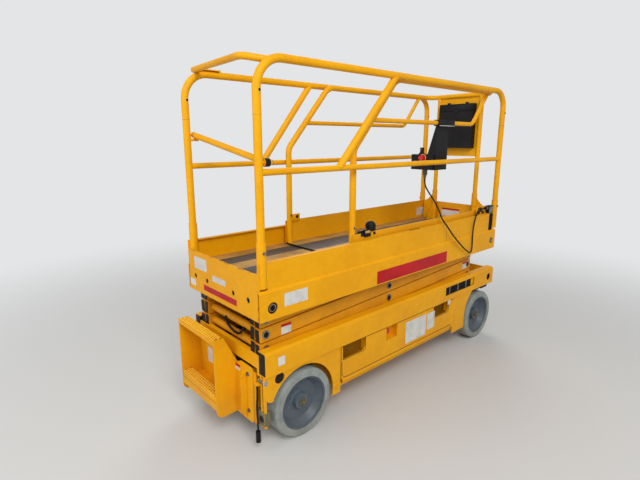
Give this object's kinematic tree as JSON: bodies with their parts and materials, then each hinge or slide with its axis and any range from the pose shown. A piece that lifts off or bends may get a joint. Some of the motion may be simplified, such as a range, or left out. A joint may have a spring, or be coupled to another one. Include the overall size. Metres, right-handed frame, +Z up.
{
  "type": "scissor lift",
  "caption": "Compact electric slab scissor lift, folded, with a slide-out deck, guard rails with diagonal braces, entry step, hinged component trays and grey solid tyres.",
  "frame": {"origin": "the middle of the overall length and width, on the floor", "axes": "+X towards the steered end with the slide-out deck, +Y to the side away from the camera, +Z up"},
  "size_m": [2.581, 0.8241, 2.103],
  "materials": {
    "yellow_paint": "worn satin yellow paint",
    "arm_paint": "satin yellow paint, greased at the pins",
    "dark_rim": "dull dark grey paint",
    "grey_tyre": "scuffed light grey solid rubber",
    "dark_steel": "black painted steel, dusty",
    "bright_rod": "polished chrome",
    "black_plastic": "matt black moulding",
    "red_plastic": "glossy red moulding",
    "grey_plastic": "matt grey-green moulding",
    "deck_grip": "dark anti-slip coating, worn",
    "cable_rubber": "matt black cable sheath"
  },
  "bodies": {
    "chassis": {"chassis_frame": "yellow_paint", "rear_axle": "dark_steel", "entry_step": "yellow_paint", "tail_fittings": "yellow_paint", "side_plates_near": "yellow_paint", "side_plates_far": "yellow_paint", "charge_lead": "cable_rubber", "charge_plug": "black_plastic"},
    "knuckle_near_body": {"knuckle_near": "dark_steel"},
    "knuckle_far_body": {"knuckle_far": "dark_steel"},
    "tie_rod_body": {"tie_rod": "dark_steel"},
    "wheel_front_near": {"tyre_front_near": "grey_tyre", "rim_front_near": "dark_rim"},
    "wheel_front_far": {"tyre_front_far": "grey_tyre", "rim_front_far": "dark_rim"},
    "wheel_rear_near": {"tyre_rear_near": "grey_tyre", "rim_rear_near": "dark_rim"},
    "wheel_rear_far": {"tyre_rear_far": "grey_tyre", "rim_rear_far": "dark_rim"},
    "tray_near_body": {"tray_near": "yellow_paint", "hydraulic_unit": "dark_steel", "ground_stop": "red_plastic"},
    "tray_far_body": {"tray_far": "yellow_paint", "battery_pack": "black_plastic"},
    "guard_near": {"pothole_guard_near": "yellow_paint"},
    "guard_far": {"pothole_guard_far": "yellow_paint"},
    "barrel": {"lift_barrel": "yellow_paint"},
    "rod": {"lift_rod": "bright_rod"},
    "deck": {"main_deck": "deck_grip", "rear_panel": "yellow_paint", "side_skirt_near": "yellow_paint", "side_skirt_far": "yellow_paint", "outer_rails_near": "yellow_paint", "outer_rails_far": "yellow_paint", "entry_bow": "yellow_paint", "cable_socket": "grey_plastic"},
    "drop_bar_body": {"drop_bar": "yellow_paint"},
    "slide_out": {"slide_deck": "deck_grip", "slide_rails": "yellow_paint", "deck_lock": "black_plastic", "document_box": "black_plastic", "control_stand": "black_plastic", "stop_button": "red_plastic", "joystick": "black_plastic", "cable_plug": "grey_plastic", "control_cable": "cable_rubber"},
    "outer_arms_1_body": {"outer_arms_1": "arm_paint"},
    "inner_arms_1_body": {"inner_arms_1": "arm_paint"},
    "outer_arms_2_body": {"outer_arms_2": "arm_paint"},
    "inner_arms_2_body": {"inner_arms_2": "arm_paint"},
    "outer_arms_3_body": {"outer_arms_3": "arm_paint"},
    "inner_arms_3_body": {"inner_arms_3": "arm_paint"},
    "outer_arms_4_body": {"outer_arms_4": "arm_paint"},
    "inner_arms_4_body": {"inner_arms_4": "arm_paint"}
  },
  "joints": [
    {"name": "scissor_lift", "type": "hinge", "parent": "chassis", "child": "outer_arms_1_body", "pos_m": [-1.095, 0, 0.5003], "axis": [0, -1, 0], "range_deg": [0, 38.4]},
    {"name": "stage_1_inner", "type": "hinge", "parent": "outer_arms_1_body", "child": "inner_arms_1_body", "pos_m": [-0.0659, 0, 0.5433], "axis": [0, -1, 0], "range_deg": [-77.2, 0]},
    {"name": "stage_2_outer", "type": "hinge", "parent": "inner_arms_1_body", "child": "outer_arms_2_body", "pos_m": [-1.095, 0, 0.5863], "axis": [0, -1, 0], "range_deg": [0, 77.2]},
    {"name": "stage_2_inner", "type": "hinge", "parent": "outer_arms_2_body", "child": "inner_arms_2_body", "pos_m": [-0.0659, 0, 0.6293], "axis": [0, -1, 0], "range_deg": [-77.2, 0]},
    {"name": "stage_3_outer", "type": "hinge", "parent": "inner_arms_2_body", "child": "outer_arms_3_body", "pos_m": [-1.095, 0, 0.6723], "axis": [0, -1, 0], "range_deg": [0, 77.2]},
    {"name": "stage_3_inner", "type": "hinge", "parent": "outer_arms_3_body", "child": "inner_arms_3_body", "pos_m": [-0.0659, 0, 0.7153], "axis": [0, -1, 0], "range_deg": [-77.2, 0]},
    {"name": "stage_4_outer", "type": "hinge", "parent": "inner_arms_3_body", "child": "outer_arms_4_body", "pos_m": [-1.095, 0, 0.7583], "axis": [0, -1, 0], "range_deg": [0, 77.2]},
    {"name": "stage_4_inner", "type": "hinge", "parent": "outer_arms_4_body", "child": "inner_arms_4_body", "pos_m": [-0.0659, 0, 0.8013], "axis": [0, -1, 0], "range_deg": [-77.2, 0]},
    {"name": "deck_level", "type": "hinge", "parent": "inner_arms_4_body", "child": "deck", "pos_m": [-1.095, 0, 0.8443], "axis": [0, -1, 0], "range_deg": [0, 38.6]},
    {"name": "barrel_swing", "type": "hinge", "parent": "chassis", "child": "barrel", "pos_m": [0.395, 0, 0.4], "axis": [0, 1, 0], "range_deg": [0, 37.48]},
    {"name": "rod_slide", "type": "slide", "parent": "barrel", "child": "rod", "axis": [-0.9953, 0, 0.0964], "range_m": [0, 0.5777]},
    {"name": "steer_near", "type": "hinge", "parent": "chassis", "child": "knuckle_near_body", "pos_m": [1.085, -0.3245, 0.44], "axis": [0, 0, 1], "range_deg": [-65, 65]},
    {"name": "steer_far", "type": "hinge", "parent": "chassis", "child": "knuckle_far_body", "pos_m": [1.085, 0.3245, 0.44], "axis": [0, 0, 1], "range_deg": [-65.2, 65.2]},
    {"name": "tie_rod_pivot", "type": "hinge", "parent": "knuckle_near_body", "child": "tie_rod_body", "pos_m": [0.995, -0.3245, 0.445], "axis": [0, 0, 1], "range_deg": [-65.2, 65.2]},
    {"name": "wheel_spin_front_near", "type": "hinge", "parent": "knuckle_near_body", "child": "wheel_front_near", "pos_m": [1.085, -0.3245, 0.206], "axis": [0, 1, 0], "continuous": true},
    {"name": "wheel_spin_rear_near", "type": "hinge", "parent": "chassis", "child": "wheel_rear_near", "pos_m": [-0.885, -0.3245, 0.206], "axis": [0, 1, 0], "continuous": true},
    {"name": "tray_swing_near", "type": "hinge", "parent": "chassis", "child": "tray_near_body", "pos_m": [0.675, -0.374, 0.33], "axis": [0, 0, 1], "range_deg": [0, 70]},
    {"name": "guard_fold_near", "type": "hinge", "parent": "chassis", "child": "guard_near", "pos_m": [0.045, -0.35, 0.188], "axis": [-1, 0, 0], "range_deg": [0, 80.2]},
    {"name": "wheel_spin_front_far", "type": "hinge", "parent": "knuckle_far_body", "child": "wheel_front_far", "pos_m": [1.085, 0.3245, 0.206], "axis": [0, 1, 0], "continuous": true},
    {"name": "wheel_spin_rear_far", "type": "hinge", "parent": "chassis", "child": "wheel_rear_far", "pos_m": [-0.885, 0.3245, 0.206], "axis": [0, 1, 0], "continuous": true},
    {"name": "tray_swing_far", "type": "hinge", "parent": "chassis", "child": "tray_far_body", "pos_m": [0.675, 0.374, 0.33], "axis": [0, 0, -1], "range_deg": [0, 70]},
    {"name": "guard_fold_far", "type": "hinge", "parent": "chassis", "child": "guard_far", "pos_m": [0.045, 0.35, 0.188], "axis": [1, 0, 0], "range_deg": [0, 80.2]},
    {"name": "deck_slide", "type": "slide", "parent": "deck", "child": "slide_out", "axis": [1, 0, 0], "range_m": [0, 0.92], "deforming": ["control_cable"]},
    {"name": "drop_bar_swing", "type": "hinge", "parent": "deck", "child": "drop_bar_body", "pos_m": [-1.096, -0.365, 1.582], "axis": [1, 0, 0], "range_deg": [0, 26]}
  ],
  "couplings": [
    {"joint": "stage_1_inner", "follows": "scissor_lift", "ratio": -2},
    {"joint": "stage_2_outer", "follows": "scissor_lift", "ratio": 2},
    {"joint": "stage_2_inner", "follows": "scissor_lift", "ratio": -2},
    {"joint": "stage_3_outer", "follows": "scissor_lift", "ratio": 2},
    {"joint": "stage_3_inner", "follows": "scissor_lift", "ratio": -2},
    {"joint": "stage_4_outer", "follows": "scissor_lift", "ratio": 2},
    {"joint": "stage_4_inner", "follows": "scissor_lift", "ratio": -2},
    {"joint": "deck_level", "follows": "scissor_lift", "ratio": 1},
    {"joint": "barrel_swing", "follows": "scissor_lift", "ratio": 0.97084},
    {"joint": "rod_slide", "follows": "scissor_lift", "m_per_rad": 0.85899},
    {"joint": "steer_far", "follows": "steer_near", "ratio": 1},
    {"joint": "tie_rod_pivot", "follows": "steer_near", "ratio": -1},
    {"joint": "guard_fold_near", "follows": "scissor_lift", "ratio": 2.0833},
    {"joint": "guard_fold_far", "follows": "scissor_lift", "ratio": 2.0833}
  ]
}
